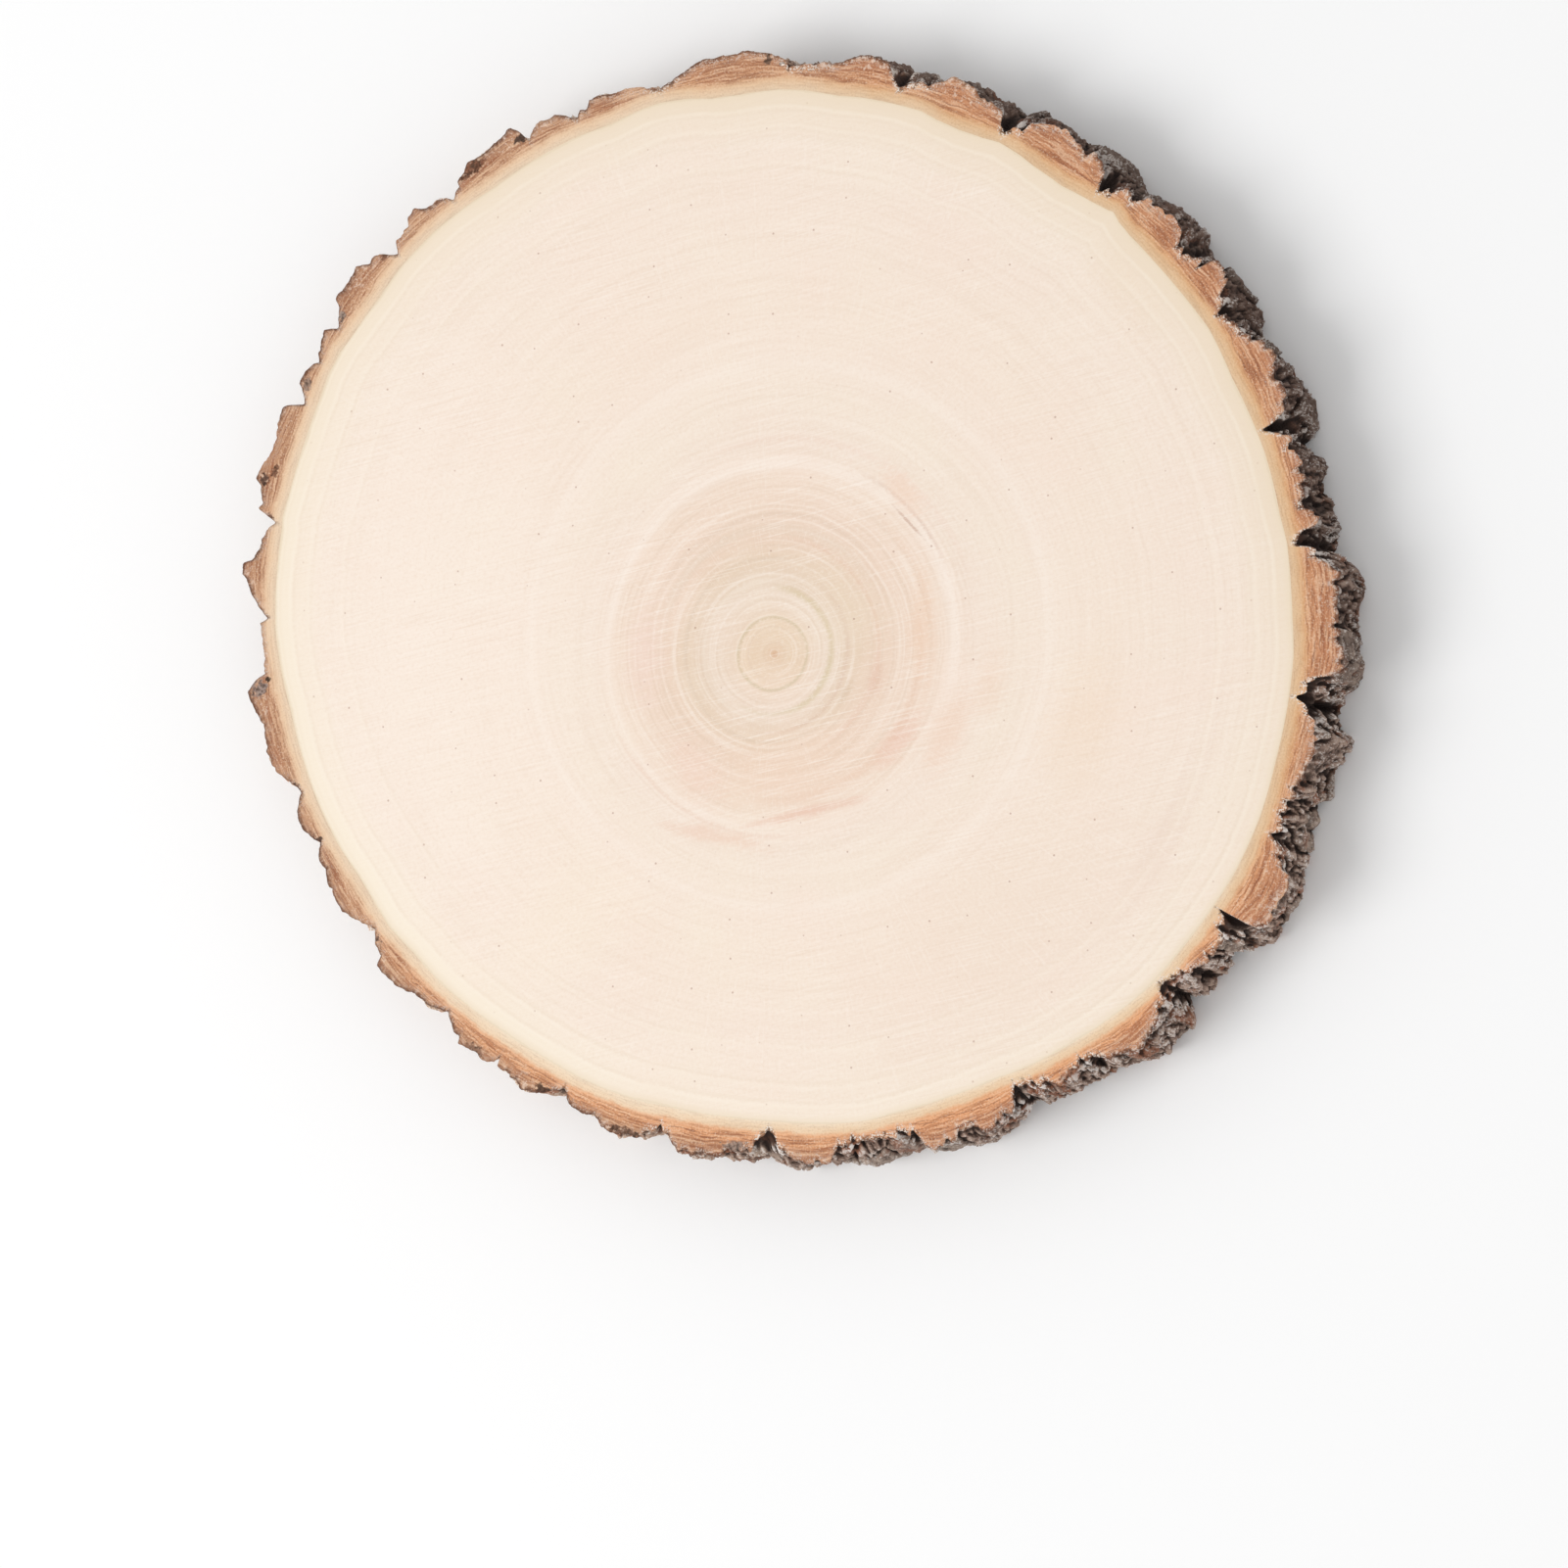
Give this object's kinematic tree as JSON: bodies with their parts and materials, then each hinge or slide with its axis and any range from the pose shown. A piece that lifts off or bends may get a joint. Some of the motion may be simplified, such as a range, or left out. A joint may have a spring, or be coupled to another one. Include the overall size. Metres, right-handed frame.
{
  "type": "wood slice",
  "caption": "Round slice sawn across a small log, bark left on: flat sawn faces with growth rings inside a rugged, fissured bark rim.",
  "frame": {"origin": "middle of the bounding box's underside, on the sawn face that the slice rests on", "axes": "+Z is along the log, out of the upper sawn face; +X and +Y lie in the sawn face, +Y towards the top of the pictured slice"},
  "size_m": [0.308, 0.2954, 0.025],
  "materials": {
    "wood_with_bark": "bare sawn pale wood, cream with faint rings, inside an orange-brown band of cut bark and a rough grey-brown bark side"
  },
  "bodies": {
    "root": {"wood_slice": "wood_with_bark"}
  },
  "joints": []
}
